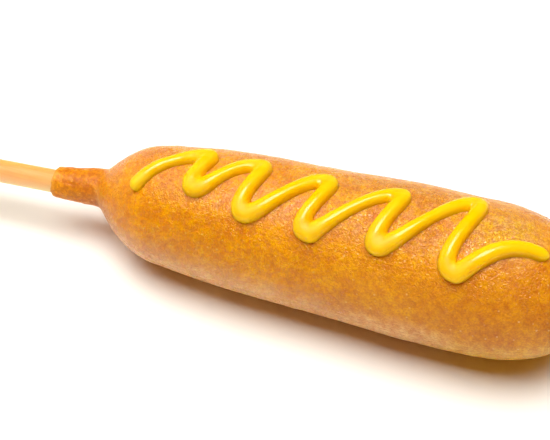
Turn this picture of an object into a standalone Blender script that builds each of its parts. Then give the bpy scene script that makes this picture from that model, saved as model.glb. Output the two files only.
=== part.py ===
"""A corn dog lying on a table: a fried cornmeal crust on a round wooden stick, with a zigzag of mustard on top.

The frame is in metres. +X runs from the stick's free end to the rounded tip, +Z is up, and the mustard
swings down the -Y side. The origin is on the table, under the middle of the whole length.
"""

import math

import bmesh
import bpy
from mathutils import Vector

MM = 0.001

# Lengths along X
BODY_LENGTH = 136.1 * MM
NECK_LENGTH = 9.3 * MM  # from the collar to where the body starts to swell
STICK_BARE = 66.0 * MM  # from the free end to the collar
STICK_LENGTH = 139.7 * MM
STICK_DIAMETER = 6.35 * MM
STICK_EASE = 0.5 * MM  # rounding of the stick's two ends
GAP = 0.3 * MM  # between pieces that touch

# The body: a shaft that widens towards the tip, closed by two rounded ends
SHOULDER_RADIUS = 13.3 * MM  # the shaft's line carried back to the body's start
TIP_RADIUS = 19.3 * MM  # the same line carried on to the tip
BELLY = 2.9 * MM  # how far the shaft bulges past that line half-way along
BELLY_LEAN = -0.35  # below 0 the bulge is fuller on the stick's side
SHOULDER_REACH = 23.8 * MM
SHOULDER_POWER = 2.2
TIP_REACH = 28.8 * MM
TIP_POWER = 2.2
SWAY = 1.45 * MM  # sideways bend of the body's middle line at each end

# The neck: batter that ran a little way up the stick
COLLAR_RADIUS = 4.1 * MM
NECK_RADIUS = 5.4 * MM
NECK_FILLET = 1.2 * MM
NECK_BLEND = 8.0 * MM  # how far into the body its middle line still leaves the stick's

# How it lies: the thicker tip lifts the axis, which the stick shares in height
AXIS_HEIGHT = 16.6 * MM  # at the body's start
AXIS_RISE = 0.033
STICK_OFFSET = -0.4 * MM  # the stick's Y at the body's start
STICK_SKEW = 0.0436  # its drift in Y for each metre along X

# The mustard: (distance from the body's start, way round from the top towards -Y)
MUSTARD_TURNS = (
    (18.0 * MM, 7.1 * MM),
    (33.8 * MM, -3.6 * MM),
    (34.2 * MM, 6.1 * MM),
    (48.6 * MM, -3.7 * MM),
    (48.7 * MM, 10.2 * MM),
    (65.6 * MM, -3.3 * MM),
    (65.7 * MM, 11.9 * MM),
    (84.8 * MM, -3.0 * MM),
    (83.0 * MM, 11.7 * MM),
    (102.5 * MM, -6.4 * MM),
    (102.4 * MM, 13.8 * MM),
    (119.3 * MM, 3.4 * MM),
)
FIRST_HANDLE = (3.8 * MM, -7.2 * MM)  # heading of the bead where it starts
LAST_HANDLE = (10.0 * MM, 0.0)  # and where it ends
RISE_OUT, RISE_IN = 2.3 * MM, 5.6 * MM  # handles of a stroke that climbs from the front to the back
FALL_OUT, FALL_IN = 3.7 * MM, 6.7 * MM  # handles of a stroke that falls from the back to the front
BEAD_RADIUS = 1.9 * MM
SWEEP_RADIUS = 2.4 * MM  # the last stroke is squeezed thicker
END_RADIUS = 1.5 * MM
TURN_SWELL = 1.08  # the bead gathers a little at each turn
BEAD_LIFT = 1.1 * MM  # height of the bead's middle above the crust

# Facets
WELD = 0.001 * MM  # points closer than this are one
ROUND_STEPS = 40
STICK_SIDES = 32
BALL_SEGMENTS, BALL_RINGS = 12, 8
NECK_STATIONS = 5
BODY_STATIONS = 42
STATION_CROWDING = 0.8  # 0 spreads the rings evenly, 1 crowds them at the ends
STROKE_SEGMENTS = 9
BEAD_RESOLUTION = 3

# Derived places
TIP_X = (BODY_LENGTH + NECK_LENGTH + STICK_BARE) / 2
BODY_START = TIP_X - BODY_LENGTH
COLLAR_X = BODY_START - NECK_LENGTH
STICK_END = COLLAR_X - STICK_BARE


def clear_scene():
    """Start from an empty file."""
    for item in list(bpy.data.objects):
        bpy.data.objects.remove(item, do_unlink=True)


def new_collection(name):
    """A collection in the scene."""
    collection = bpy.data.collections.new(name)
    bpy.context.scene.collection.children.link(collection)
    return collection


def new_material(name, color, roughness):
    """A plain Principled BSDF; color is linear red, green and blue."""
    material = bpy.data.materials.new(name)
    material.use_nodes = True
    shader = material.node_tree.nodes["Principled BSDF"]
    shader.inputs["Base Color"].default_value = (*color, 1.0)
    shader.inputs["Roughness"].default_value = roughness
    shader.inputs["Metallic"].default_value = 0.0
    return material


def new_object(name, mesh, collection):
    """An object that holds a mesh, linked to a collection."""
    item = bpy.data.objects.new(name, mesh)
    collection.objects.link(item)
    return item


def adopt(name, collection):
    """Name the primitive that was just added and move it into a collection."""
    item = bpy.context.object
    item.name = name
    item.data.name = name
    for held_by in list(item.users_collection):
        held_by.objects.unlink(item)
    collection.objects.link(item)
    return item


def make_cutter(item):
    """Mark an object as a tool that shapes others and isn't a piece itself."""
    item.hide_render = True
    item.display_type = "WIRE"


def baked(item, collection):
    """Turn an object with its modifiers into a welded mesh object, and remove the original."""
    bpy.context.view_layer.update()
    depsgraph = bpy.context.evaluated_depsgraph_get()
    mesh = bpy.data.meshes.new_from_object(item.evaluated_get(depsgraph))
    shape = bmesh.new()
    shape.from_mesh(mesh)
    bmesh.ops.remove_doubles(shape, verts=shape.verts, dist=WELD)
    bmesh.ops.recalc_face_normals(shape, faces=shape.faces)
    shape.to_mesh(mesh)
    shape.free()
    name = item.name
    place = item.matrix_world.copy()
    bpy.data.objects.remove(item, do_unlink=True)
    result = new_object(name, mesh, collection)
    result.matrix_world = place
    return result


def boolean(item, operation, tool):
    """Join an object to a tool or cut it by one; the tool is an object or a collection."""
    modifier = item.modifiers.new(operation.title(), "BOOLEAN")
    modifier.operation = operation
    modifier.solver = "EXACT"
    if isinstance(tool, bpy.types.Collection):
        modifier.operand_type = "COLLECTION"
        modifier.collection = tool
    else:
        modifier.object = tool


def shoulder_share(distance):
    """Share of the shaft's radius at a distance from the body's start, where it opens like a cone."""
    left = min(1.0, max(0.0, 1.0 - distance / SHOULDER_REACH))
    return 1.0 - left**SHOULDER_POWER


def tip_share(distance):
    """Share of the shaft's radius at a distance from the blunt tip."""
    left = min(1.0, max(0.0, 1.0 - distance / TIP_REACH))
    return (1.0 - left**TIP_POWER) ** (1.0 / TIP_POWER)


def smooth_max(first, second, fillet):
    """The larger of two lengths, with a fillet where they cross."""
    overlap = max(fillet - abs(first - second), 0.0) / fillet
    return max(first, second) + overlap * overlap * fillet / 4


def body_radius(x):
    """Radius of the body at a place along X, 0 outside it."""
    share = (x - BODY_START) / BODY_LENGTH
    if not 0.0 < share < 1.0:
        return 0.0
    bulge = BELLY * 4 * share * (1 - share) * (1 + BELLY_LEAN * (share - 0.5))
    shaft = SHOULDER_RADIUS + (TIP_RADIUS - SHOULDER_RADIUS) * share + bulge
    return shaft * shoulder_share(x - BODY_START) * tip_share(TIP_X - x)


def neck_radius(x):
    """Radius of the batter round the stick, which widens up to the body's start."""
    share = min(1.0, (x - COLLAR_X) / NECK_LENGTH)
    return COLLAR_RADIUS + (NECK_RADIUS - COLLAR_RADIUS) * share


def crust_radius(x):
    """Radius of the neck and body together; only the body reaches into the tip."""
    if x > BODY_START + BODY_LENGTH / 2:
        return body_radius(x)
    return smooth_max(neck_radius(x), body_radius(x), NECK_FILLET)


def axis_height(x):
    """Height of the shared axis above the table."""
    return AXIS_HEIGHT + AXIS_RISE * (x - BODY_START)


def stick_centre(x):
    """A point on the stick's axis."""
    return Vector((x, STICK_OFFSET + STICK_SKEW * (x - BODY_START), axis_height(x)))


def crust_centre(x):
    """The crust's middle line: the stick's axis at the collar, easing over to the body's own."""
    share = min(1.0, max(0.0, (x - COLLAR_X) / (NECK_LENGTH + NECK_BLEND)))
    ease = share * share * (3 - 2 * share)
    body_y = SWAY * (1 - 2 * (x - BODY_START) / BODY_LENGTH) ** 3
    stick_y = stick_centre(x).y
    return Vector((x, stick_y + (body_y - stick_y) * ease, axis_height(x)))


def crust_stations():
    """Places along X of the crust's rings, closer together at the shoulder and the tip."""
    body_from = BODY_START + NECK_LENGTH / 4
    stations = []
    for step in range(NECK_STATIONS):
        stations.append(COLLAR_X + (body_from - COLLAR_X) * step / NECK_STATIONS)
    for step in range(BODY_STATIONS):
        share = step / BODY_STATIONS
        share -= STATION_CROWDING * math.sin(2 * math.pi * share) / (2 * math.pi)
        stations.append(body_from + (TIP_X - body_from) * share)
    return stations


def turned_crust(name, extra, collection):
    """The neck and body as a turned solid, bent onto its middle line; extra is added to every radius."""
    profile = bmesh.new()
    outline = [(COLLAR_X, 0.0)]
    outline += [(x, crust_radius(x) + extra) for x in crust_stations()]
    outline.append((TIP_X, 0.0))
    points = [profile.verts.new((x, radius, 0.0)) for x, radius in outline]
    for start, end in zip(points, points[1:]):
        profile.edges.new((start, end))
    mesh = bpy.data.meshes.new(name)
    profile.to_mesh(mesh)
    profile.free()
    item = new_object(name, mesh, collection)
    screw = item.modifiers.new("Turn", "SCREW")
    screw.axis = "X"
    screw.steps = ROUND_STEPS
    screw.render_steps = ROUND_STEPS
    screw.use_merge_vertices = True
    screw.merge_threshold = WELD
    item = baked(item, collection)
    for vertex in item.data.vertices:
        centre = crust_centre(vertex.co.x)
        vertex.co.y += centre.y
        vertex.co.z += centre.z
    return item


def cylinder_along_stick(name, start, length, radius, collection):
    """A cylinder on the stick's axis, from a place along X, towards the tip."""
    bpy.ops.mesh.primitive_cylinder_add(vertices=STICK_SIDES, radius=radius, depth=length)
    item = adopt(name, collection)
    direction = (stick_centre(TIP_X) - stick_centre(STICK_END)).normalized()
    item.rotation_mode = "QUATERNION"
    item.rotation_quaternion = direction.to_track_quat("Z", "Y")
    item.location = stick_centre(start) + direction * length / 2
    return item


def make_stick(collection, material):
    """The round dowel, its two ends eased."""
    stick = cylinder_along_stick("stick", STICK_END, STICK_LENGTH, STICK_DIAMETER / 2, collection)
    bevel = stick.modifiers.new("Eased ends", "BEVEL")
    bevel.width = STICK_EASE
    bevel.segments = 2
    bevel.limit_method = "ANGLE"
    stick.data.materials.append(material)
    return stick


def make_crust(collection, cutters, material):
    """The crust, with a socket for the stick and a narrow flat where it rests."""
    crust = turned_crust("crust", 0.0, collection)
    overrun = 5 * MM
    socket = cylinder_along_stick(
        "stick_socket",
        COLLAR_X - overrun,
        STICK_LENGTH - STICK_BARE + overrun + GAP,
        STICK_DIAMETER / 2 + GAP,
        cutters,
    )
    table_size = 2 * BODY_LENGTH
    bpy.ops.mesh.primitive_cube_add(size=table_size)
    table = adopt("table_top", cutters)
    table.location.z = -table_size / 2
    for tool in (socket, table):
        make_cutter(tool)
        boolean(crust, "DIFFERENCE", tool)
    crust.data.materials.append(material)
    return crust


def on_crust(along, around, lift):
    """A point above the body: how far from its start, how far round from the top, and how high."""
    x = BODY_START + along
    radius = body_radius(x)
    angle = around / radius
    outward = Vector((0.0, -math.sin(angle), math.cos(angle)))
    return crust_centre(x) + outward * (radius + lift)


def bezier(start, start_handle, end_handle, end, share):
    """A point of a cubic curve on the unrolled crust; each argument but the last is (along, around)."""
    rest = 1.0 - share
    weights = (rest**3, 3 * rest * rest * share, 3 * rest * share * share, share**3)
    points = (start, start_handle, end_handle, end)
    return tuple(sum(w * p[i] for w, p in zip(weights, points)) for i in (0, 1))


def stroke_handles(index):
    """The two inner control points of a stroke, which runs along X at every turn."""
    start = MUSTARD_TURNS[index]
    end = MUSTARD_TURNS[index + 1]
    falling = index % 2 == 1
    leave = (FALL_OUT if falling else RISE_OUT, 0.0)
    arrive = (FALL_IN if falling else RISE_IN, 0.0)
    if index == 0:
        leave = FIRST_HANDLE
    if index == len(MUSTARD_TURNS) - 2:
        arrive = LAST_HANDLE
    return (start[0] + leave[0], start[1] + leave[1]), (end[0] - arrive[0], end[1] - arrive[1])


def turn_radius(index):
    """Radius of the bead at a turn: even along the zigzag, thick in the last sweep, thin at its end."""
    last = len(MUSTARD_TURNS) - 1
    if index == last:
        return END_RADIUS
    return SWEEP_RADIUS if index == last - 1 else BEAD_RADIUS


def make_stroke(index, cutters):
    """One stroke of the zigzag, as a round bead between two turns."""
    name = f"mustard_stroke_{index:02d}"
    curve = bpy.data.curves.new(name, "CURVE")
    curve.dimensions = "3D"
    curve.bevel_depth = BEAD_RADIUS
    curve.bevel_resolution = BEAD_RESOLUTION
    curve.use_fill_caps = True
    spline = curve.splines.new("POLY")
    spline.points.add(STROKE_SEGMENTS)
    inner = stroke_handles(index)
    thick, thin = turn_radius(index), turn_radius(index + 1)
    for step, point in enumerate(spline.points):
        share = step / STROKE_SEGMENTS
        along, around = bezier(MUSTARD_TURNS[index], *inner, MUSTARD_TURNS[index + 1], share)
        point.co = (*on_crust(along, around, BEAD_LIFT), 1.0)
        point.radius = (thick + (thin - thick) * share) / BEAD_RADIUS
    return baked(new_object(name, curve, cutters), cutters)


def make_turn(index, cutters):
    """The ball of mustard that two strokes share at a turn, or that closes an end."""
    along, around = MUSTARD_TURNS[index]
    radius = turn_radius(index) * TURN_SWELL
    bpy.ops.mesh.primitive_uv_sphere_add(segments=BALL_SEGMENTS, ring_count=BALL_RINGS, radius=radius)
    ball = adopt(f"mustard_turn_{index:02d}", cutters)
    ball.location = on_crust(along, around, BEAD_LIFT)
    return ball


def make_mustard(collection, cutters, material):
    """The zigzag bead: strokes and turns joined, then fitted to the crust below it."""
    strokes = new_collection("mustard_strokes")
    for index in range(len(MUSTARD_TURNS) - 1):
        make_cutter(make_stroke(index, strokes))
    for index in range(1, len(MUSTARD_TURNS)):
        make_cutter(make_turn(index, strokes))
    mustard = make_turn(0, collection)
    mustard.name = "mustard"
    boolean(mustard, "UNION", strokes)
    clearance = turned_crust("crust_clearance", GAP, cutters)
    make_cutter(clearance)
    boolean(mustard, "DIFFERENCE", clearance)
    mustard.data.materials.append(material)
    return mustard


def main():
    """Build the corn dog."""
    clear_scene()
    parts = new_collection("corn_dog")
    cutters = new_collection("cutters")
    fried = new_material("fried_batter", (0.72, 0.25, 0.02), 0.6)
    wood = new_material("pale_wood", (0.93, 0.62, 0.23), 0.55)
    sauce = new_material("mustard_sauce", (0.98, 0.66, 0.01), 0.25)
    pieces = (
        make_crust(parts, cutters, fried),
        make_stick(parts, wood),
        make_mustard(parts, cutters, sauce),
    )
    for piece in pieces:
        piece.data.shade_smooth()


main()
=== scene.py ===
"""Looks of a corn dog on its side: fried batter on a wooden stick, with a zigzag of mustard on top."""

from __future__ import annotations

import logging
import math
from dataclasses import dataclass
from enum import Enum

import bpy
import numpy as np
from mathutils import Matrix, Vector, noise


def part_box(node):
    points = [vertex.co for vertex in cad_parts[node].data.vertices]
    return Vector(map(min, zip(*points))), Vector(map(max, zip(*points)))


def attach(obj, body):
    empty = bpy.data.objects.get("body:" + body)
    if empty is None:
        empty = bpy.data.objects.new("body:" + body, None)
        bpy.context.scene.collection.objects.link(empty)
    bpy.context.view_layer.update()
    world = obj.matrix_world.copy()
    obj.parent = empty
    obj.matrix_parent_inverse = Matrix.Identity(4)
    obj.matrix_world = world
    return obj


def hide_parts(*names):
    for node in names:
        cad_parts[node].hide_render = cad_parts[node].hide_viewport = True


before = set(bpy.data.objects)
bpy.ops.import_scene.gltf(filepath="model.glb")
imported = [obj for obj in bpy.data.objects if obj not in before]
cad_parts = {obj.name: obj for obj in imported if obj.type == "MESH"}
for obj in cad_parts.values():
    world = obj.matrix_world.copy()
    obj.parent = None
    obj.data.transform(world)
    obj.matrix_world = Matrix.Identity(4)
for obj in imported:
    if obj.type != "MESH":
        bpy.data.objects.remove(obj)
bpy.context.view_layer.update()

MM = 0.001
NEARLY_ZERO = 1e-12
ROOT = "root"

Socket = bpy.types.NodeSocket
Colour = tuple[float, float, float, float]
Triple = tuple[float, float, float]
Factors = Triple  # red, green and blue, or one for each axis
Span = tuple[float, float]  # where a change starts and where it is complete
Slope = tuple[float, float, float, float]  # a span, then the value at its start and at its end

MIX_AMOUNT, MIX_UNDER, MIX_OVER = 0, 6, 7  # inputs of a Mix node that mixes colours
MIX_RESULT = 2  # and its output

log = logging.getLogger("corn_dog")


class Blend(Enum):
    """Ways of laying one colour over another."""

    MIX = "MIX"
    MULTIPLY = "MULTIPLY"


class Sum(Enum):
    """Sums that the finishes use."""

    ADD = "ADD"
    SUBTRACT = "SUBTRACT"
    MULTIPLY = "MULTIPLY"
    ABSOLUTE = "ABSOLUTE"


@dataclass(frozen=True)
class Patches:
    """Random patches: their width, their finer layers, the values they run over, and both tints."""

    size: float
    detail: float
    roughness: float
    span: Span
    dark: Factors
    light: Factors


@dataclass(frozen=True)
class Dots:
    """Small soft dots, scattered.

    Attributes:
        colour: what they are coloured.
        apart: width of the cell that a dot may lie in.
        empty: share of cells that hold none.
        reach: a dot's radius as a share of its cell.
        strength: how far a dot hides what is under it.
        core: share of a dot's radius that is fully covered.
        fade: how gradually cells turn from empty to full.
    """

    colour: Colour
    apart: float
    empty: float
    reach: float
    strength: float
    core: float = 0.35
    fade: float = 0.08


class NodeSheet:
    """A material's node tree, with short calls for the nodes that the finishes share."""

    def __init__(self, name: str) -> None:
        """Start a material that holds one Principled shader.

        Args:
            name: the material's name.
        """
        self.material = bpy.data.materials.new(name)
        self.material.use_nodes = True
        self.tree = self.material.node_tree
        self.shader = self.tree.nodes["Principled BSDF"]
        self.place = self.tree.nodes.new("ShaderNodeTexCoord").outputs["Object"]

    def put(self, socket: Socket, value: object) -> None:
        """Give a socket a constant, or join an output to it.

        Args:
            socket: the input to fill.
            value: a number, a sequence of numbers, or another node's output.
        """
        if isinstance(value, Socket):
            self.tree.links.new(value, socket)
        else:
            socket.default_value = value

    def add(self, kind: str, inputs: dict[str | int, object], **settings: object) -> bpy.types.Node:
        """Add a node.

        Args:
            kind: the node's type name.
            inputs: values or outputs, by the input's name or number.
            settings: the node's own properties.

        Returns:
            The new node.
        """
        node = self.tree.nodes.new(kind)
        for name, value in settings.items():
            setattr(node, name, value)
        for name, value in inputs.items():
            self.put(node.inputs[name], value)
        return node

    def finish(self, **values: object) -> None:
        """Fill the shader's own sockets; an underscore in a name stands for a space."""
        for name, value in values.items():
            self.put(self.shader.inputs[name.replace("_", " ")], value)

    def axes(self) -> tuple[Socket, Socket, Socket]:
        """The object's X, Y and Z, as three values."""
        node = self.add("ShaderNodeSeparateXYZ", {"Vector": self.place})
        return node.outputs["X"], node.outputs["Y"], node.outputs["Z"]

    def stretched(self, scale: Factors) -> Socket:
        """Object coordinates, multiplied by one factor for each axis."""
        return self.add("ShaderNodeMapping", {"Vector": self.place, "Scale": scale}).outputs["Vector"]

    def noise(
        self, size: float, detail: float = 3.0, roughness: float = 0.55, at: Socket | None = None
    ) -> Socket:
        """Soft random patches.

        Args:
            size: width of a patch in metres.
            detail: how many finer layers are added.
            roughness: how strong the finer layers are.
            at: coordinates, if not the object's own.

        Returns:
            A value that mostly lies between 0.3 and 0.7.
        """
        inputs = {"Scale": 1 / size, "Detail": detail, "Roughness": roughness}
        return self.add("ShaderNodeTexNoise", {"Vector": at or self.place, **inputs}).outputs["Fac"]

    def noise_of(self, patches: Patches, at: Socket | None = None) -> Socket:
        """The random value that a finish's patches follow."""
        return self.noise(patches.size, patches.detail, patches.roughness, at)

    def cells(self, size: float) -> bpy.types.Node:
        """Random dots, one to a cell of this width: a node with outputs Distance and Color."""
        return self.add("ShaderNodeTexVoronoi", {"Vector": self.place, "Scale": 1 / size})

    def ramp(
        self,
        value: Socket,
        low: float,
        high: float,
        to_low: float = 0.0,
        to_high: float = 1.0,
        smooth: bool = True,
    ) -> Socket:
        """Carry one range of values to another, held at both ends.

        Args:
            value: the value to carry.
            low: where the range starts; it may be larger than high.
            high: where the range ends.
            to_low: what low becomes.
            to_high: what high becomes.
            smooth: ease in and out.

        Returns:
            The carried value.
        """
        rises = low < high
        inputs = {
            "Value": value,
            "From Min": low if rises else high,
            "From Max": high if rises else low,
            "To Min": to_low if rises else to_high,
            "To Max": to_high if rises else to_low,
        }
        kind = "SMOOTHSTEP" if smooth else "LINEAR"
        return self.add("ShaderNodeMapRange", inputs, interpolation_type=kind).outputs["Result"]

    def math(self, operation: Sum, first: object, second: object = 0.0) -> Socket:
        """One sum on two values."""
        node = self.add("ShaderNodeMath", {0: first, 1: second}, operation=operation.value)
        return node.outputs["Value"]

    def plus(self, first: object, second: object) -> Socket:
        """Two values added."""
        return self.math(Sum.ADD, first, second)

    def minus(self, first: object, second: object) -> Socket:
        """The second value taken from the first."""
        return self.math(Sum.SUBTRACT, first, second)

    def times(self, first: object, second: object) -> Socket:
        """Two values multiplied."""
        return self.math(Sum.MULTIPLY, first, second)

    def colour(self, amount: object, under: object, over: object, blend: Blend = Blend.MIX) -> Socket:
        """Lay a colour over another.

        Args:
            amount: how much of it shows, 0 to 1.
            under: the colour below.
            over: the colour above.
            blend: how they combine.

        Returns:
            The colour that results.
        """
        node = self.add("ShaderNodeMix", {}, data_type="RGBA", blend_type=blend.value)
        self.put(node.inputs[MIX_AMOUNT], amount)
        self.put(node.inputs[MIX_UNDER], under)
        self.put(node.inputs[MIX_OVER], over)
        return node.outputs[MIX_RESULT]

    def tinted(self, under: Socket, amount: Socket, low: Factors, high: Factors) -> Socket:
        """A colour multiplied by a tint, which is the low one where the amount is 0."""
        return self.colour(1.0, under, self.colour(amount, (*low, 1.0), (*high, 1.0)), Blend.MULTIPLY)

    def patchy(self, under: Socket, patches: Patches, value: Socket | None = None) -> Socket:
        """A colour tinted in patches, which follow a random value of their own if none is given."""
        amount = self.ramp(value or self.noise_of(patches), *patches.span)
        return self.tinted(under, amount, patches.dark, patches.light)

    def dots(self, dots: Dots) -> Socket:
        """Where scattered dots lie.

        Args:
            dots: what they are like.

        Returns:
            A share, above 0 on a dot.
        """
        cells = self.cells(dots.apart)
        lucky = self.add("ShaderNodeSeparateColor", {"Color": cells.outputs["Color"]}).outputs["Red"]
        round_dot = self.ramp(cells.outputs["Distance"], dots.reach, dots.reach * dots.core)
        shown = self.ramp(lucky, dots.empty, dots.empty + dots.fade, 0.0, dots.strength)
        return self.times(round_dot, shown)

    def bump(self, height: Socket, depth: float, below: Socket | None = None) -> Socket:
        """Turn heights into a surface normal.

        Args:
            height: the heights, about 0 to 1.
            depth: the distance in metres that 1 stands for.
            below: a normal to build on.

        Returns:
            The normal.
        """
        inputs: dict[str | int, object] = {"Height": height, "Distance": depth, "Strength": 1.0}
        if below is not None:
            inputs["Normal"] = below
        return self.add("ShaderNodeBump", inputs).outputs["Normal"]


@dataclass(frozen=True)
class FriedBatter:
    """Golden fried cornmeal batter: fine grain and a little oil. Its colours hold painted light: a
    painted sheen along the top, painted shade on the top of the shoulder, on the front near the tip and
    on the neck, and a paler underside that is partly paler batter and partly a painted reflection of
    the white paper.

    Spans and slopes given in MM run along X, or over Y or the height above the paper where the name
    says so, and those of the neck are measured from the neck's end. The others run over a texture.
    """

    shoulder: Colour = (0.74, 0.268, 0.0, 1.0)
    amber: Colour = (0.70, 0.273, 0.0, 1.0)
    # Painted shade: the flank's front is darker near the tip.
    shaded_tip_front: Colour = (0.66, 0.243, 0.0, 1.0)
    # Painted shade: the top of the shoulder is darker than the flank.
    shaded_crown_shoulder: Colour = (0.62, 0.168, 0.0, 1.0)
    # Painted sheen: the top's colours are paler and bluer than the flank's, more so towards the tip,
    # and the back of the top has none.
    painted_sheen_crown: Colour = (0.72, 0.308, 0.034, 1.0)
    painted_sheen_crown_tip: Colour = (0.745, 0.39, 0.052, 1.0)
    back: Colour = (0.72, 0.288, 0.0, 1.0)
    # Paler underside: partly paler batter and partly a painted reflection of the white paper.
    pale_shoulder: Colour = (0.70, 0.325, 0.122, 1.0)
    pale_amber: Colour = (0.735, 0.385, 0.127, 1.0)
    pale_deep: Colour = (0.765, 0.42, 0.042, 1.0)
    # Toast on the neck in blotches, and also painted shade under the neck and where it meets the body.
    toast_and_shade: Colour = (0.50, 0.13, 0.0, 1.0)
    rim: Colour = (0.76, 0.36, 0.06, 1.0)

    shoulder_to_middle: Span = (-32 * MM, 8 * MM)
    # Towards the tip the top's painted sheen grows, the underside warms, and over Y the flank's front
    # takes painted shade.
    toward_tip: Span = (62 * MM, 84 * MM)
    front_y: Span = (-2 * MM, -9 * MM)
    # Over Y the top's painted sheen fades out towards the back; by height, rising along X, the top
    # begins.
    back_y: Span = (8 * MM, 0.0)
    crest_height: Span = (28.3 * MM, 31.5 * MM)
    crest_rise: float = 0.075
    pale_height: Span = (23 * MM, 13.5 * MM)
    pale_wander: float = 7 * MM
    pale_wander_size: float = 6 * MM
    neck_spared: Slope = (4 * MM, -2 * MM, 0.0, 7 * MM)

    broad: Patches = Patches(8 * MM, 3, 0.55, (0.35, 0.65), (0.95, 0.9, 0.84), (1.05, 1.1, 1.16))
    mottle: Patches = Patches(1.9 * MM, 3, 0.6, (0.36, 0.64), (0.92, 0.83, 0.74), (1.07, 1.16, 1.26))
    flecks: Patches = Patches(0.55 * MM, 2, 0.7, (0.34, 0.66), (0.9, 0.78, 0.68), (1.09, 1.21, 1.32))
    streaks: Patches = Patches(0.9 * MM, 3, 0.6, (0.36, 0.62), (0.92, 0.82, 0.76), (1.06, 1.14, 1.2))
    streak_stretch: Factors = (0.22, 1.0, 1.0)
    # Painted sheen in patches on the top: bluer in some, yellower in others.
    painted_sheen_patches: Patches = Patches(1.7 * MM, 2, 0.55, (0.4, 0.6), (1.02, 1.05, 0.5), (0.98, 0.94, 1.7))
    # Bright dots, partly crumbs of cornmeal and partly painted glints.
    crumbs_and_glints: Dots = Dots((0.84, 0.52, 0.12, 1.0), 2.2 * MM, 0.2, 0.16, 0.9)
    chars: Dots = Dots((0.31, 0.085, 0.0, 1.0), 1.9 * MM, 0.5, 0.12, 0.45)

    # Painted glints along the fine crackle on the top, with painted shade in its creases.
    painted_glint_crackle: Span = (10 * MM, 50 * MM)
    crackle_width: Span = (0.0, 0.1)
    crackle_shade: Factors = (0.8, 0.72, 0.7)
    crackle_glint: Factors = (1.05, 1.07, 1.1)

    neck: Span = (8 * MM, 2 * MM)
    blotch: float = 1.2 * MM
    blotches: Slope = (0.42, 0.6, 0.0, 0.5)
    # Painted shade under the neck and where it meets the body.
    neck_shade_height: Slope = (12.5 * MM, 10.5 * MM, 0.0, 0.1)
    neck_joint_shade: Slope = (-8 * MM, -1 * MM, 0.0, 0.35)
    neck_dullness: float = 0.2
    rim_reach: Slope = (1.6 * MM, 0.0, 0.0, 0.7)

    peel: float = 0.62 * MM
    peel_depth: float = 0.08 * MM
    pit: float = 0.775 * MM
    swelling: float = 0.28 * MM
    crease_width: Span = (0.0, 0.14)
    pit_width: Span = (0.0, 0.75)
    coarseness: Slope = (20 * MM, 60 * MM, 0.85, 1.5)
    crest_coarseness: Slope = (0.0, 1.0, 0.7, 1.18)
    shoulder_coarseness: Slope = (-26 * MM, -32 * MM, 1.0, 0.55)
    roughness: Slope = (0.3, 0.7, 0.32, 0.22)
    oiliness: Slope = (30 * MM, 60 * MM, 0.0, -0.07)

    def build(self, collar_x: float, neck_end: float) -> bpy.types.Material:
        """Make the material.

        Args:
            collar_x: where the neck starts.
            neck_end: where the body takes over.

        Returns:
            The material.
        """
        sheet = NodeSheet("fried_batter")
        x, y, z = sheet.axes()
        past_neck = sheet.minus(x, neck_end)
        mottle = sheet.noise_of(self.mottle)
        paleness = self.paleness(sheet, past_neck, z)
        level = sheet.minus(z, sheet.times(past_neck, self.crest_rise))
        crest = sheet.ramp(level, *self.crest_height)
        # The top takes the colours with the painted sheen; the underside is paler, partly paler batter
        # and partly a painted reflection of the white paper.
        colour = sheet.colour(paleness, *self.tops_and_unders(sheet, x, y, crest))
        colour = sheet.patchy(colour, self.broad)
        colour = sheet.patchy(colour, self.mottle, mottle)
        colour = sheet.patchy(colour, self.flecks)
        streaks = sheet.noise_of(self.streaks, sheet.stretched(self.streak_stretch))
        colour = sheet.colour(paleness, colour, sheet.patchy(colour, self.streaks, streaks))
        winding = sheet.math(Sum.ABSOLUTE, sheet.minus(sheet.noise(self.peel, 1, 0.5), 0.5))
        # Painted glints on the top between the crackle's creases, and painted shade in them.
        lines = sheet.ramp(winding, *self.crackle_width)
        painted_glint_crackle = sheet.tinted(colour, lines, self.crackle_shade, self.crackle_glint)
        colour = sheet.colour(sheet.times(crest, sheet.ramp(x, *self.painted_glint_crackle)), colour, painted_glint_crackle)
        on_neck = sheet.ramp(past_neck, *self.neck)
        # Toast in blotches on the neck, and painted shade under it and where it meets the body.
        toasted_and_shaded = sheet.times(on_neck, self.toasting_and_shade(sheet, past_neck, z))
        colour = sheet.colour(toasted_and_shaded, colour, self.toast_and_shade)
        at_rim = sheet.ramp(sheet.minus(x, collar_x), *self.rim_reach)
        colour = sheet.colour(at_rim, colour, self.rim)
        # Bright dots, partly crumbs and partly painted glints, and dark specks of char.
        for dots in (self.crumbs_and_glints, self.chars):
            colour = sheet.colour(sheet.dots(dots), colour, dots.colour)
        duller = sheet.plus(sheet.times(on_neck, self.neck_dullness), sheet.ramp(x, *self.oiliness))
        sheet.finish(
            Base_Color=colour,
            Roughness=sheet.plus(sheet.ramp(mottle, *self.roughness), duller),
            IOR=1.45,
            Specular_IOR_Level=0.32,
            Normal=self.skin(sheet, mottle, winding, x, crest),
            Subsurface_Weight=0.45,
            Subsurface_Radius=(1.0, 0.4, 0.1),
            Subsurface_Scale=1.6 * MM,
        )
        return sheet.material

    def paleness(self, sheet: NodeSheet, past_neck: Socket, z: Socket) -> Socket:
        """How pale the batter is: more towards its underside, and later on the neck. This paleness is
        partly paler batter and partly a painted reflection of the white paper.

        Args:
            sheet: the material.
            past_neck: distances from the neck's end.
            z: heights above the paper.

        Returns:
            A share, 0 on top and 1 below.
        """
        wander = sheet.times(sheet.minus(sheet.noise(self.pale_wander_size), 0.5), self.pale_wander)
        spared = sheet.ramp(past_neck, *self.neck_spared)
        return sheet.ramp(sheet.plus(sheet.plus(z, wander), spared), *self.pale_height)

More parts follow.
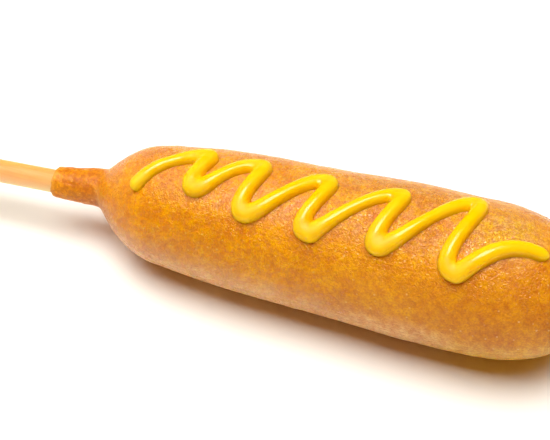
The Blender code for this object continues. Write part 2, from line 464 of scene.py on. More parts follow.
    def tops_and_unders(
        self, sheet: NodeSheet, x: Socket, y: Socket, crest: Socket
    ) -> tuple[Socket, Socket]:
        """The batter's colours on top and underneath, changing towards the tip. The top holds a painted
        sheen, and painted shade on the shoulder; the flank's front holds painted shade near the tip;
        the underside is paler, partly a painted reflection of the paper.

        Args:
            sheet: the material.
            x: places along the corn dog.
            y: places across it, larger to the back.
            crest: 1 along the top, 0 on the sides.

        Returns:
            The two colours.
        """
        shoulder_to_middle = sheet.ramp(x, *self.shoulder_to_middle)
        toward_tip = sheet.ramp(x, *self.toward_tip)
        front_toward_tip = sheet.times(toward_tip, sheet.ramp(y, *self.front_y))
        flank = sheet.colour(shoulder_to_middle, self.shoulder, self.amber)
        # Painted shade: the flank's front darkens towards the tip.
        flank = sheet.colour(front_toward_tip, flank, self.shaded_tip_front)
        # Painted sheen on the top: stronger towards the tip, none towards the back, and in patches.
        top = sheet.colour(toward_tip, self.painted_sheen_crown, self.painted_sheen_crown_tip)
        top = sheet.colour(sheet.ramp(y, *self.back_y), self.back, top)
        top = sheet.patchy(top, self.painted_sheen_patches)
        # Painted shade on the top of the shoulder.
        top = sheet.colour(shoulder_to_middle, self.shaded_crown_shoulder, top)
        under = sheet.colour(shoulder_to_middle, self.pale_shoulder, self.pale_amber)
        return sheet.colour(crest, flank, top), sheet.colour(toward_tip, under, self.pale_deep)

    def toasting_and_shade(self, sheet: NodeSheet, past_neck: Socket, z: Socket) -> Socket:
        """How far the neck is darkened: in blotches of toast, and by painted shade below it and where
        the body takes over.

        Args:
            sheet: the material.
            past_neck: distances from the neck's end.
            z: heights above the paper.

        Returns:
            A share, 0 for none.
        """
        blotches = sheet.ramp(sheet.noise(self.blotch, 2, 0.5), *self.blotches)
        below = sheet.ramp(z, *self.neck_shade_height)
        return sheet.plus(sheet.plus(blotches, below), sheet.ramp(past_neck, *self.neck_joint_shade))

    def skin(
        self, sheet: NodeSheet, mottle: Socket, winding: Socket, x: Socket, crest: Socket
    ) -> Socket:
        """The wrinkled skin of the batter: soft swellings, and fine winding creases with pits between.

        Args:
            sheet: the material.
            mottle: the soft patches that the colour follows.
            winding: 0 along the creases.
            x: places along the corn dog.
            crest: 1 along the top, 0 on the sides.

        Returns:
            The normal.
        """
        creases = sheet.ramp(winding, *self.crease_width)
        pits = sheet.ramp(sheet.cells(self.pit).outputs["Distance"], *self.pit_width)
        coarser = sheet.ramp(x, *self.coarseness)
        coarser = sheet.times(coarser, sheet.ramp(crest, *self.crest_coarseness))
        coarser = sheet.times(coarser, sheet.ramp(x, *self.shoulder_coarseness))
        heights = sheet.times(sheet.plus(creases, pits), coarser)
        return sheet.bump(heights, self.peel_depth, sheet.bump(mottle, self.swelling))


@dataclass(frozen=True)
class MustardSauce:
    """Smooth yellow mustard, wet, lit through at its edges, and duller where the zigzag turns."""

    yellow: Colour = (0.97, 0.54, 0.006, 1.0)
    warm: Colour = (0.97, 0.505, 0.0, 1.0)
    warmth: float = 5 * MM
    warm_patches: Span = (0.35, 0.7)
    front_turns_y: Slope = (2 * MM, 24 * MM, -4.4 * MM, -9.5 * MM)
    front_dip_y: Slope = (55 * MM, 70 * MM, 0.0, -2.2 * MM)
    rear_turns_y: Slope = (58 * MM, 72 * MM, 2 * MM, 4.8 * MM)
    past_front: Span = (0.2 * MM, -1 * MM)
    past_rear: Span = (-0.3 * MM, 0.9 * MM)
    turn_dullness: float = 0.32
    gloss_patch: float = 3 * MM
    roughness: Slope = (0.3, 0.7, 0.14, 0.22)
    dimple: float = 2.2 * MM
    dimple_depth: float = 0.03 * MM

    def build(self) -> bpy.types.Material:
        """Make the material.

        Returns:
            The material.
        """
        sheet = NodeSheet("mustard_sauce")
        x, y, _ = sheet.axes()
        front = sheet.ramp(x, *self.front_turns_y, smooth=False)
        front = sheet.plus(front, sheet.ramp(x, *self.front_dip_y))
        at_front = sheet.ramp(sheet.minus(y, front), *self.past_front)
        at_rear = sheet.ramp(sheet.minus(y, sheet.ramp(x, *self.rear_turns_y)), *self.past_rear)
        duller = sheet.times(sheet.plus(at_front, at_rear), self.turn_dullness)
        warmed = sheet.ramp(sheet.noise(self.warmth), *self.warm_patches)
        sheet.finish(
            Base_Color=sheet.colour(warmed, self.yellow, self.warm),
            Roughness=sheet.plus(sheet.ramp(sheet.noise(self.gloss_patch), *self.roughness), duller),
            IOR=1.4,
            Specular_IOR_Level=0.32,
            Normal=sheet.bump(sheet.noise(self.dimple, 2, 0.4), self.dimple_depth),
            Subsurface_Weight=1.0,
            Subsurface_Radius=(1.0, 0.95, 0.2),
            Subsurface_Scale=4.5 * MM,
        )
        return sheet.material


@dataclass(frozen=True)
class BirchWood:
    """A smooth pale birch dowel with fine grain along its length, painted paler below with light
    reflected from the paper.
    """

    light: Colour = (0.8388, 0.4125, 0.1046, 1.0)
    dark: Colour = (0.7157, 0.3095, 0.0685, 1.0)
    # Painted reflected light: the underside is paler, standing in for light thrown up by the paper.
    under: Colour = (0.95, 0.82, 0.46, 1.0)
    middle: float = 17.6 * MM
    rise: float = 0.033
    bounce_lit_height: Slope = (2.8 * MM, -1.5 * MM, 0.0, 0.95)
    grain_stretch: Factors = (0.05, 1.0, 1.0)
    fibre: float = 0.5 * MM
    fibre_depth: float = 0.04 * MM
    fibres_shown: Slope = (0.45, 0.7, 0.0, 0.6)
    band: float = 2.2 * MM
    bands_shown: Slope = (0.35, 0.7, 0.0, 0.5)
    roughness: Slope = (0.3, 0.7, 0.45, 0.6)

    def build(self) -> bpy.types.Material:
        """Make the material.

        Returns:
            The material.
        """
        sheet = NodeSheet("pale_wood")
        x, _, z = sheet.axes()
        along = sheet.stretched(self.grain_stretch)
        fibres = sheet.noise(self.fibre, 4, 0.6, along)
        bands = sheet.noise(self.band, 2, 0.5, along)
        colour = sheet.colour(sheet.ramp(bands, *self.bands_shown), self.light, self.dark)
        colour = sheet.colour(sheet.ramp(fibres, *self.fibres_shown), colour, self.dark)
        # Painted reflected light: paler towards the underside.
        above_middle = sheet.minus(sheet.minus(z, sheet.times(x, self.rise)), self.middle)
        low = sheet.ramp(above_middle, *self.bounce_lit_height, smooth=False)
        sheet.finish(
            Base_Color=sheet.colour(low, colour, self.under),
            Roughness=sheet.ramp(fibres, *self.roughness),
            Normal=sheet.bump(fibres, self.fibre_depth),
            Subsurface_Weight=1.0,
            Subsurface_Radius=(1.0, 0.8, 0.5),
            Subsurface_Scale=4 * MM,
        )
        return sheet.material


@dataclass(frozen=True)
class Softbox:
    """A soft light: the direction it hangs in, its width and depth in metres, its watts and its tint.

    One that is only gloss makes only highlights; any other makes all the rest and no highlights.
    """

    name: str
    towards: Factors
    size: tuple[float, float]
    power: float
    tint: Factors = (1.0, 1.0, 1.0)
    only_gloss: bool = False


@dataclass(frozen=True)
class StudioPaper:
    """The matt white paper that the corn dog lies on."""

    white: Colour = (0.93, 0.93, 0.93, 1.0)

    def build(self) -> bpy.types.Material:
        """Make the material.

        Returns:
            The material.
        """
        sheet = NodeSheet("studio_paper")
        sheet.finish(Base_Color=self.white, Roughness=0.9, Specular_IOR_Level=0.1)
        return sheet.material


def tube_of_rings(name: str, rings: np.ndarray) -> bpy.types.Object:
    """Make a tube from rings of points, with a point and a fan of faces on both ends.

    Args:
        name: the new object's name.
        rings: points as an array of rings by points by three, each ring running the same way round.

    Returns:
        The new object, shaded smooth.
    """
    count, sides = rings.shape[:2]
    grid = np.arange(count * sides).reshape(count, sides)
    turned = np.roll(grid, -1, axis=1)
    quads = np.stack([grid[:-1], turned[:-1], turned[1:], grid[1:]], axis=-1).reshape(-1, 4)
    points = np.concatenate([rings.reshape(-1, 3), rings[:1].mean(axis=1), rings[-1:].mean(axis=1)])
    first, last = len(points) - 2, len(points) - 1
    faces = quads.tolist()
    faces += [[first, int(b), int(a)] for a, b in zip(grid[0], turned[0])]
    faces += [[last, int(a), int(b)] for a, b in zip(grid[-1], turned[-1])]
    mesh = bpy.data.meshes.new(name)
    mesh.from_pydata(points.tolist(), [], faces)
    mesh.validate()
    mesh.shade_smooth()
    item = bpy.data.objects.new(name, mesh)
    bpy.context.scene.collection.objects.link(item)
    return item


def bake(item: bpy.types.Object) -> None:
    """Swap an object's mesh for the one its modifiers make, and drop the modifiers.

    Args:
        item: a mesh object with modifiers.
    """
    bpy.context.view_layer.update()
    depsgraph = bpy.context.evaluated_depsgraph_get()
    mesh = bpy.data.meshes.new_from_object(item.evaluated_get(depsgraph))
    item.modifiers.clear()
    item.data = mesh
    mesh.shade_smooth()


def unit(vectors: np.ndarray) -> np.ndarray:
    """Vectors made one long, along the last axis."""
    return vectors / (np.linalg.norm(vectors, axis=-1, keepdims=True) + NEARLY_ZERO)


def dress(item: bpy.types.Object, material: bpy.types.Material, node: str) -> None:
    """Give a piece its material and its body, and hide the CAD node that it stands for.

    Args:
        item: the piece.
        material: what it is made of.
        node: the CAD node it replaces.
    """
    item.data.materials.clear()
    item.data.materials.append(material)
    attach(item, ROOT)
    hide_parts(node)


@dataclass(frozen=True)
class Unevenness:
    """Random rises and hollows: their height, their width and where in the pattern they start."""

    height: float
    size: float
    start: Triple = (0.0, 0.0, 0.0)

    def at(self, place: Vector) -> float:
        """The pattern at a place, from -1 to 1."""
        return noise.noise(place / self.size + Vector(self.start))


@dataclass(frozen=True)
class CrustForm:
    """The smooth form of the crust and the line of the stick, measured from the tip and the collar.

    Each swell is a place along the body, then how far its back and its front stand out, in millimetres.
    """

    tip_x: float
    collar_x: float
    neck_length: float = 9.3 * MM
    shoulder_radius: float = 13.3 * MM
    tip_radius: float = 19.3 * MM
    belly: float = 2.9 * MM
    belly_lean: float = -0.35
    shoulder_reach: float = 23.8 * MM
    tip_reach: float = 28.8 * MM
    end_power: float = 2.2
    sway: float = 1.45 * MM
    collar_radius: float = 4.1 * MM
    neck_radius: float = 5.4 * MM
    neck_fillet: float = 1.2 * MM
    neck_blend: float = 8 * MM
    axis_height: float = 16.6 * MM
    axis_rise: float = 0.033
    stick_offset: float = -0.4 * MM
    stick_skew: float = 0.0436
    swells: tuple[Triple, ...] = (
        (-9.3, 0.19, 0.0), (-6.0, -0.16, 0.0), (-3.0, -0.56, 0.0), (0.0, -0.71, 0.0),
        (3.0, -0.51, 0.2), (6.0, -0.23, 0.4), (9.0, -0.03, 0.45), (12.0, 0.21, 0.45),
        (16.0, 0.05, 0.37), (20.0, -0.42, 0.35), (25.0, -0.34, 0.3), (30.0, 0.02, 0.43),
        (36.0, 0.34, 0.37), (42.0, 0.35, 0.31), (48.0, 0.23, 0.29), (54.0, -0.03, 0.14),
        (60.0, -0.3, -0.02), (66.0, -0.37, -0.16), (72.0, -0.34, -0.13), (78.0, -0.04, 0.01),
        (84.0, 0.12, 0.17), (90.0, 0.12, 0.32), (96.0, -0.04, 0.35), (102.0, -0.18, 0.38),
        (108.0, 0.07, 0.15), (114.0, 0.06, 0.03), (120.0, 0.19, -0.13), (126.0, 0.27, -0.02),
        (136.1, 0.0, 0.0),
    )
    swell_samples: int = 400
    swell_blur: int = 15
    back_angle: float = math.radians(-50.0)

    @property
    def start_x(self) -> float:
        """Where the body starts."""
        return self.collar_x + self.neck_length

    @property
    def length(self) -> float:
        """Length of the body."""
        return self.tip_x - self.start_x

    def body_radius(self, x: np.ndarray) -> np.ndarray:
        """Radius of the body.

        Args:
            x: places along X.

        Returns:
            A radius for each, 0 outside the body.
        """
        share = np.clip((x - self.start_x) / self.length, 0.0, 1.0)
        bulge = self.belly * 4 * share * (1 - share) * (1 + self.belly_lean * (share - 0.5))
        shaft = self.shoulder_radius + (self.tip_radius - self.shoulder_radius) * share + bulge
        at_shoulder = np.clip(1 - (x - self.start_x) / self.shoulder_reach, 0.0, 1.0)
        at_tip = np.clip(1 - (self.tip_x - x) / self.tip_reach, 0.0, 1.0)
        tip_share = (1 - at_tip**self.end_power) ** (1 / self.end_power)
        return shaft * (1 - at_shoulder**self.end_power) * tip_share

    def swell(self, x: np.ndarray, angle: np.ndarray) -> np.ndarray:
        """How far the body's back and front stand off its even form.

        Args:
            x: places along X.
            angle: angles round from the top, towards -Y.

        Returns:
            A distance for each.
        """
        along, back, front = np.array(self.swells).T * MM
        fine = np.linspace(along[0], along[-1], self.swell_samples)
        kernel = np.hanning(self.swell_blur)
        kernel /= kernel.sum()
        stood_off = []
        for side in (back, front):
            padded = np.pad(np.interp(fine, along, side), self.swell_blur // 2, "edge")
            soft = np.convolve(padded, kernel, "valid")
            stood_off.append(np.interp(x - self.start_x, fine, soft))
        at_back, at_front = stood_off
        share = np.cos((angle - self.back_angle) / 2) ** 2
        return at_back * share + at_front * (1 - share)

    def crust_radius(self, x: np.ndarray) -> np.ndarray:
        """Radius of the neck and body together.

        Args:
            x: places along X.

        Returns:
            A radius for each.
        """
        share = np.clip((x - self.collar_x) / self.neck_length, 0.0, 1.0)
        neck = self.collar_radius + (self.neck_radius - self.collar_radius) * share
        body = self.body_radius(x)
        overlap = np.clip(self.neck_fillet - np.abs(neck - body), 0.0, None) / self.neck_fillet
        joined = np.maximum(neck, body) + overlap * overlap * self.neck_fillet / 4
        return np.where(x > self.start_x + self.length / 2, body, joined)

    def stick_centre(self, x: np.ndarray) -> np.ndarray:
        """The stick's axis.

        Args:
            x: places along X.

        Returns:
            A point for each.
        """
        past = x - self.start_x
        y = self.stick_offset + self.stick_skew * past
        return np.stack([x, y, self.axis_height + self.axis_rise * past], axis=-1)

    def crust_centre(self, x: np.ndarray) -> np.ndarray:
        """The crust's middle line.

        Args:
            x: places along X.

        Returns:
            A point for each.
        """
        line = self.stick_centre(x)
        share = np.clip((x - self.collar_x) / (self.neck_length + self.neck_blend), 0.0, 1.0)
        ease = share * share * (3 - 2 * share)
        body_y = self.sway * (1 - 2 * (x - self.start_x) / self.length) ** 3
        line[..., 1] += (body_y - line[..., 1]) * ease
        return line

    def above(self, along: np.ndarray, around: np.ndarray, lift: np.ndarray | float) -> np.ndarray:
        """Points above the body.

        Args:
            along: distances from the body's start.
            around: distances round from the top, towards -Y.
            lift: heights above the body.

        Returns:
            One point for each.
        """
        x = self.start_x + along
        radius = self.body_radius(x)
        angle = around / radius
        radius = radius + self.swell(x, angle)
        outward = np.stack([np.zeros_like(x), -np.sin(angle), np.cos(angle)], axis=-1)
        return self.crust_centre(x) + outward * (radius + lift)[..., None]


@dataclass
class FriedCrust:
    """The battered body and its neck, with the real unevenness of fried batter."""

    form: CrustForm
    finish: FriedBatter = FriedBatter()
    ring_count: int = 300
    sides: int = 290
    neck_rings: int = 36
    crowding: float = 0.55
    lumps: Unevenness = Unevenness(0.12 * MM, 14 * MM)
    ripples: Unevenness = Unevenness(0.08 * MM, 4.5 * MM, (7.0, 3.0, 1.0))
    grain: Unevenness = Unevenness(0.035 * MM, 1.25 * MM, (2.0, 9.0, 4.0))
    neck_grain: float = 0.11 * MM
    neck_grain_from: float = 3 * MM
    neck_grain_fade: float = 5 * MM
    calm_tip: float = 6 * MM
    calm_share: float = 0.4
    ragged: float = 0.35 * MM
    pulled_back: float = 0.25 * MM
    torn_rings: int = 8
    tears: tuple[float, float] = (1.9, 5.0)
    tear_start: Triple = (5.0, 0.0, 0.0)
    fine_tear: float = 0.6
    stick_radius: float = 3.175 * MM
    lip_grip: float = 0.93
    lip_shares: tuple[float, ...] = (0.0, 0.35, 0.7)
    lip_roundness: float = 0.6
    lip_reach: float = 0.2 * MM

    def stations(self) -> np.ndarray:
        """Where the rings stand, closer together where the form turns quickly.

        Returns:
            Places along X.
        """
        share = np.linspace(0.0, 1.0, self.ring_count)
        crowded = share - self.crowding * np.sin(2 * np.pi * share) / (2 * np.pi)
        body_from = self.form.start_x
        neck = np.linspace(self.form.collar_x, body_from, self.neck_rings, endpoint=False)
        body = body_from + (self.form.tip_x - body_from) * crowded
        return np.concatenate([neck, body[:-1]])

    def relief(self, points: np.ndarray, x: np.ndarray) -> np.ndarray:
        """How far the batter stands off its smooth form.

        Args:
            points: points on the smooth form, rings by sides by three.
            x: the rings' places along X.

        Returns:
            A distance for each point.
        """
        flat = points.reshape(-1, 3)
        before_body = self.form.start_x + self.neck_grain_from - x
        rough = np.clip(before_body / self.neck_grain_fade, 0.0, 1.0)
        grains = self.grain.height + (self.neck_grain - self.grain.height) * rough
        grains = np.repeat(grains, points.shape[1])
        heights = np.empty(len(flat))
        for index, point in enumerate(flat):
            place = Vector(point)
            heights[index] = (
                self.lumps.height * self.lumps.at(place)
                + self.ripples.height * self.ripples.at(place)
                + grains[index] * self.grain.at(place)
            )
        off_tip = np.clip((self.form.tip_x - x) / self.calm_tip, 0.0, 1.0)[:, None]
        return heights.reshape(points.shape[:2]) * (self.calm_share + (1 - self.calm_share) * off_tip)

    def build(self) -> bpy.types.Object:
        """Make the crust's mesh.

        Returns:
            The crust, dressed.
        """
        x = self.stations()
        angle = np.linspace(0.0, 2 * np.pi, self.sides, endpoint=False)
        outward = np.stack([np.zeros_like(angle), np.sin(angle), np.cos(angle)], axis=-1)
        centre = self.form.crust_centre(x)[:, None, :]
        radius = self.form.crust_radius(x)[:, None]
        radius = radius + self.form.swell(x[:, None], -angle[None])
        smooth = centre + outward[None] * radius[..., None]
        radius = radius + self.relief(smooth, x)
        rings = centre + outward[None] * radius[..., None]
        rings = np.concatenate([self.lip(rings, outward), rings])
        rings[..., 2] = np.maximum(rings[..., 2], 0.0)
        item = tube_of_rings("fried_crust", rings)
        batter = self.finish.build(self.form.collar_x, self.form.start_x)
        dress(item, batter, "crust")
        return item

    def lip(self, rings: np.ndarray, outward: np.ndarray) -> np.ndarray:
        """The torn edge where the batter ends on the stick.

        Args:
            rings: the crust's rings from the collar on; the first few are pulled back unevenly.
            outward: unit vectors round a ring.

        Returns:
            The rings that close the collar down onto the stick.
        """
        coarse, fine = self.tears
        tear = np.array([noise.noise(Vector(o) * coarse + Vector(self.tear_start)) for o in outward])
        tear += self.fine_tear * np.array([noise.noise(Vector(o) * fine) for o in outward])
        for index in range(self.torn_rings):
            share = 1 - index / self.torn_rings
            rings[index, :, 0] += (self.ragged * tear + self.pulled_back) * share
        edge = rings[0]
        centre = self.form.stick_centre(edge[:, 0])
        offset = edge - centre
        on_stick = centre + offset * (self.stick_radius * self.lip_grip / self.form.collar_radius)
        closing = []
        for share in self.lip_shares:
            ring = on_stick + (edge - on_stick) * share**self.lip_roundness
            ring[:, 0] -= self.lip_reach * (1 - share)
            closing.append(ring)
        return np.stack(closing)


@dataclass
class MustardBead:
    """The zigzag of mustard: strokes that run along X at every turn, and gather there.

    Each turn is its distance along the body, its distance round from the top and the bead's radius
    there. Each stroke is how far its curve runs on from its first turn and back from its second, and
    the bead's radius in its middle. All are in millimetres, and the other radii and heights are shares
    of the bead's radius.
    """

    form: CrustForm
    finish: MustardSauce = MustardSauce()
    turns: tuple[Triple, ...] = (
        (17.98, 7.10, 1.87), (33.84, -3.61, 2.48), (34.15, 6.11, 2.45), (48.57, -3.69, 2.05),
        (48.73, 10.20, 2.35), (65.55, -3.29, 2.01), (65.74, 11.92, 2.41), (84.81, -3.02, 1.89),
        (82.96, 11.69, 2.41), (102.54, -6.38, 1.98), (102.39, 13.84, 2.27), (119.30, 3.43, 1.67),
    )
    strokes: tuple[Triple, ...] = (
        (3.83, 4.03, 1.51), (2.44, 5.02, 1.89), (3.02, 7.14, 1.63), (2.87, 6.05, 1.90),
        (2.91, 4.66, 1.70), (5.03, 7.97, 1.80), (0.65, 6.77, 1.52), (2.43, 5.31, 1.84),
        (2.81, 3.99, 1.43), (5.42, 9.09, 1.79), (0.96, 10.04, 2.17),
    )
    first_rise: float = -7.25
    lift_share: float = 0.4
    foot: float = 0.45
    foot_squareness: float = 0.4
    foot_curve: float = 1.5
    stroke_height: float = 0.92
    turn_height: float = 0.72
    turn_curve: float = 1.5
    end_reach: float = 0.5
    start_stretch: float = 1.0
    end_stretch: float = 1.8
    end_rings: int = 8
    unevenness: float = 0.025
    wobble: Triple = (2.3, 0.3, 8.0)
    steps: int = 40
    sides: int = 28
    voxel: float = 0.26 * MM
    softening: float = 0.5
    soft_passes: int = 6
    settling: int = 220

    def route(self) -> np.ndarray:
        """The whole bead's line on the unrolled crust.

        Returns:
            Distances along and around, in metres.
        """
        share = np.linspace(0.0, 1.0, self.steps, endpoint=False)[:, None]
        rest = 1 - share
        rise = self.first_rise
        parts = []
        for turn, following, (leave, arrive, _) in zip(self.turns, self.turns[1:], self.strokes):
            start, end = np.array(turn[:2]), np.array(following[:2])
            near, far = start + (leave, rise), end - (arrive, 0.0)
            inner = 3 * rest**2 * share * near + 3 * rest * share**2 * far
            parts.append(rest**3 * start + inner + share**3 * end)
            rise = 0.0
        parts.append(np.array([self.turns[-1][:2]]))
        return np.concatenate(parts) * MM

    def radii(self, count: int) -> np.ndarray:
        """The bead's radius.

        Args:
            count: how many points the route has.

        Returns:
            A radius for each point, in metres.
        """
        at = np.arange(count) / self.steps
        known = [value for pair in zip(self.turns, self.strokes) for value in (pair[0][2], pair[1][2])]
        known.append(self.turns[-1][2])
        kernel = np.hanning(self.steps // 2 + 1)
        plain = np.interp(at, np.arange(len(known)) / 2, known)
        margin = len(kernel) // 2
        soft = np.convolve(np.pad(plain, margin, "edge"), kernel / kernel.sum(), "valid")
        rate, *start = self.wobble
        wobble = np.array([noise.noise(Vector((a * rate, *start))) for a in at])
        return soft * MM * (1 + self.unevenness * wobble)

    def flatness(self, count: int) -> np.ndarray:
        """How high the bead stands at each point of its route: the sauce lies flatter at a turn.

        Args:
            count: how many points the route has.

        Returns:
            Heights, as shares of the bead's radius.
        """
        at = np.arange(count) / self.steps
        near_turn = (np.cos(np.pi * at) ** 2) ** self.turn_curve
        inside = np.clip(np.minimum(at, at[-1] - at) / self.end_reach, 0.0, 1.0)
        return self.stroke_height + (self.turn_height - self.stroke_height) * near_turn * inside

    def build(self) -> bpy.types.Object:
        """Make the bead's mesh.

        Returns:
            The bead, dressed.
        """
        flat = self.route()
        radii = self.radii(len(flat))
        middle = self.form.above(flat[:, 0], flat[:, 1], radii * self.lift_share)
        above = self.form.above(flat[:, 0], flat[:, 1], radii * self.lift_share + MM)
        up = (above - middle) / MM
        ahead = unit(np.gradient(middle, axis=0))
        side = unit(np.cross(ahead, up))
        up = np.cross(side, ahead)
        angle = np.linspace(0.0, 2 * np.pi, self.sides, endpoint=False)
        across, rise = np.cos(angle), np.sin(angle)
        spread = 1 + self.foot * np.abs(rise) ** self.foot_curve
        foot = np.sign(across) * np.abs(across) ** self.foot_squareness * spread
        across = np.where(rise < 0, foot, across)
        height = np.where(rise[None] > 0, self.flatness(len(flat))[:, None], 1.0) * rise[None]
        spokes = side[:, None] * across[None, :, None] + up[:, None] * height[..., None]
        rings = middle[:, None] + spokes * radii[:, None, None]
        rings = np.concatenate([
            self.cap(middle[0], -ahead[0], spokes[0], radii[0], self.start_stretch)[::-1],
            rings,
            self.cap(middle[-1], ahead[-1], spokes[-1], radii[-1], self.end_stretch),
        ])
        item = tube_of_rings("mustard_bead", rings)
        fuse = item.modifiers.new("Fuse", "REMESH")
        fuse.mode = "VOXEL"
        fuse.voxel_size = self.voxel
        soften = item.modifiers.new("Soften", "SMOOTH")
        soften.factor = self.softening
        soften.iterations = self.soft_passes
        bake(item)
        self.settle(item.data)
        dress(item, self.finish.build(), "mustard")
        return item

    def settle(self, mesh: bpy.types.Mesh) -> None:
        """Let the sauce gather in its creases: points move out only where the surface is hollow.

        Args:
            mesh: the bead, in quads of about even size.
        """
        points = np.empty(len(mesh.vertices) * 3)
        mesh.vertices.foreach_get("co", points)
        points = points.reshape(-1, 3)
        edges = np.empty(len(mesh.edges) * 2, dtype=np.int64)
        mesh.edges.foreach_get("vertices", edges)
        ends = np.concatenate([edges.reshape(-1, 2), edges.reshape(-1, 2)[:, ::-1]])
        corners = np.empty(len(mesh.loops), dtype=np.int64)
        mesh.loops.foreach_get("vertex_index", corners)
        corners = corners.reshape(-1, 4)
        count = len(points)
        degree = np.bincount(ends[:, 0], minlength=count)[:, None]

        def gathered(owners: np.ndarray, values: np.ndarray) -> np.ndarray:
            """Add up values by the point that owns them."""
            sums = [np.bincount(owners, values[:, axis], count) for axis in range(3)]
            return np.stack(sums, axis=-1)

        for _ in range(self.settling):
            pull = gathered(ends[:, 0], points[ends[:, 1]]) / degree - points
            first, second, third, fourth = (points[corners[:, side]] for side in range(4))
            facing = np.cross(third - first, fourth - second)
            normal = unit(gathered(corners.ravel(), np.repeat(facing, 4, axis=0)))
            hollow = np.clip((pull * normal).sum(axis=1, keepdims=True), 0.0, None)
            points += normal * hollow
        mesh.vertices.foreach_set("co", points.ravel())
        mesh.update()

    def cap(
        self, centre: np.ndarray, ahead: np.ndarray, spokes: np.ndarray, radius: float, stretch: float
    ) -> np.ndarray:
        """The round end of the bead.

        Args:
            centre: the last point of the route.
            ahead: which way the end points.
            spokes: unit vectors round the last ring.
            radius: the bead's radius there.
            stretch: the end's length, in radii.

        Returns:
            Rings that close it, from the wide one to the narrow one.
        """
        rings = []
        for step in range(self.end_rings):
            angle = (step + 1) / (self.end_rings + 1) * math.pi / 2
            reach = ahead * radius * stretch * math.sin(angle)
            rings.append(centre + reach + spokes * radius * math.cos(angle))
        return np.stack(rings)


@dataclass
class WoodenStick:
    """The round dowel, with eased ends."""

    form: CrustForm
    free_x: float
    finish: BirchWood = BirchWood()
    length: float = 139.7 * MM
    radius: float = 3.175 * MM
    ease: float = 0.5 * MM
    ease_rings: int = 6
    sides: int = 64
    rings: int = 220

    def build(self) -> bpy.types.Object:
        """Make the stick's mesh.

        Returns:
            The stick, dressed.
        """
        ends = self.form.stick_centre(np.array([self.free_x, self.free_x + 1.0]))
        ahead = unit(ends[1] - ends[0])
        side = unit(np.cross(ahead, (0.0, 0.0, 1.0)))
        up = np.cross(side, ahead)
        reach = np.linspace(0.0, self.length, self.rings)
        corner = np.linspace(0.0, math.pi / 2, self.ease_rings)
        curve_out = self.ease * (1 - np.cos(corner))
        reach = np.concatenate([curve_out[:-1], reach[2:-2], self.length - curve_out[::-1][1:]])
        from_end = np.minimum(reach, self.length - reach)
        round_off = np.clip(1 - from_end / self.ease, 0.0, 1.0)
        radius = self.radius - self.ease * (1 - np.sqrt(1 - round_off**2))
        angle = np.linspace(0.0, 2 * np.pi, self.sides, endpoint=False)
        spokes = side * np.cos(angle)[:, None] + up * np.sin(angle)[:, None]
        rings = ends[0] + ahead * reach[:, None, None] + spokes[None] * radius[:, None, None]
        item = tube_of_rings("wooden_stick", rings)
        dress(item, self.finish.build(), "stick")
        return item


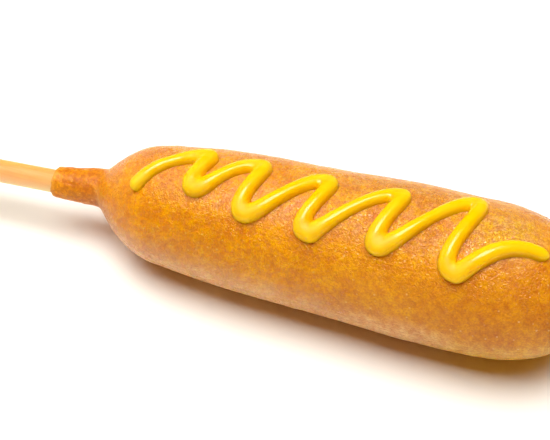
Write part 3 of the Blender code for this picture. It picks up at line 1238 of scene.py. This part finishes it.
@dataclass
class Studio:
    """White paper, soft light from above and a camera that looks down on the mustard's side."""

    azimuth: float = 18.0
    elevation: float = 50.0
    distance: float = 0.32
    lens: float = 79.17
    near_clip: float = 0.01
    target: Triple = (0.02135, 0.004, 0.017)
    paper_size: float = 12.0
    light_distance: float = 6.0
    key: Softbox = Softbox("key", (-0.12, 0.03, 1.0), (6.0, 4.7), 640.0, (0.98, 1.0, 0.94))
    glint: Softbox = Softbox("glint", (-0.066, -0.08, 1.0), (3.0, 3.0), 620.0, only_gloss=True)
    reflector: Softbox = Softbox("reflector", (-0.8, 0.15, 0.5), (4.5, 4.5), 65.0, only_gloss=True)
    sky_tint: Colour = (1.0, 0.23, 0.0, 1.0)
    sky: float = 0.155
    backdrop: Colour = (1.0, 1.0, 1.0, 1.0)

    def build(self) -> None:
        """Set the paper, the lights, the sky and the camera."""
        bpy.ops.mesh.primitive_plane_add(size=self.paper_size)
        paper = bpy.context.object
        paper.name = "paper"
        paper.data.materials.append(StudioPaper().build())
        for softbox in (self.key, self.glint, self.reflector):
            self.light(softbox)
        self.world()
        self.camera()

    def light(self, softbox: Softbox) -> None:
        """Hang one softbox, its long side along X.

        Args:
            softbox: what to hang.
        """
        lamp = bpy.data.lights.new(softbox.name, "AREA")
        lamp.shape = "RECTANGLE"
        lamp.size, lamp.size_y = softbox.size
        lamp.energy = softbox.power
        lamp.color = softbox.tint
        item = bpy.data.objects.new(softbox.name, lamp)
        item.visible_diffuse = not softbox.only_gloss
        item.visible_glossy = softbox.only_gloss
        bpy.context.scene.collection.objects.link(item)
        towards = Vector(softbox.towards).normalized()
        along = Vector((1.0, 0.0, 0.0))
        across = towards.cross(along).normalized()
        turn = Matrix((across.cross(towards), across, towards)).transposed().to_4x4()
        hung_at = Vector(self.target) + towards * self.light_distance
        item.matrix_world = Matrix.Translation(hung_at) @ turn

    def world(self) -> None:
        """Light faintly and warmly from the sky, show it white, and use no film curve."""
        world = bpy.data.worlds.new("studio")
        world.use_nodes = True
        nodes, links = world.node_tree.nodes, world.node_tree.links
        warm, white = nodes["Background"], nodes.new("ShaderNodeBackground")
        warm.inputs["Color"].default_value = self.sky_tint
        warm.inputs["Strength"].default_value = self.sky
        white.inputs["Color"].default_value = self.backdrop
        seen, mix = nodes.new("ShaderNodeLightPath"), nodes.new("ShaderNodeMixShader")
        links.new(seen.outputs["Is Camera Ray"], mix.inputs["Fac"])
        links.new(warm.outputs["Background"], mix.inputs[1])
        links.new(white.outputs["Background"], mix.inputs[2])
        links.new(mix.outputs["Shader"], nodes["World Output"].inputs["Surface"])
        bpy.context.scene.world = world
        bpy.context.scene.view_settings.view_transform = "Standard"

    def camera(self) -> None:
        """Place the camera, with its top as far up as it goes."""
        azimuth, elevation = math.radians(self.azimuth), math.radians(self.elevation)
        level = math.cos(elevation)
        back = Vector((math.sin(azimuth) * level, -math.cos(azimuth) * level, math.sin(elevation)))
        lens = bpy.data.cameras.new("camera")
        lens.lens = self.lens
        lens.clip_start = self.near_clip
        item = bpy.data.objects.new("camera", lens)
        bpy.context.scene.collection.objects.link(item)
        turn = back.to_track_quat("Z", "Y").to_matrix().to_4x4()
        item.matrix_world = Matrix.Translation(Vector(self.target) + back * self.distance) @ turn
        bpy.context.scene.camera = item


def main() -> None:
    """Build the corn dog's looks and its studio."""
    logging.basicConfig(level=logging.INFO, format="%(message)s")
    crust_low, crust_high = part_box("crust")
    stick_low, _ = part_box("stick")
    form = CrustForm(tip_x=crust_high.x, collar_x=crust_low.x)
    makers = (FriedCrust(form), MustardBead(form), WoodenStick(form, stick_low.x))
    for maker in makers:
        item = maker.build()
        log.info("%s: %d faces", item.name, len(item.data.polygons))
    Studio().build()


if __name__ == "__main__":
    main()
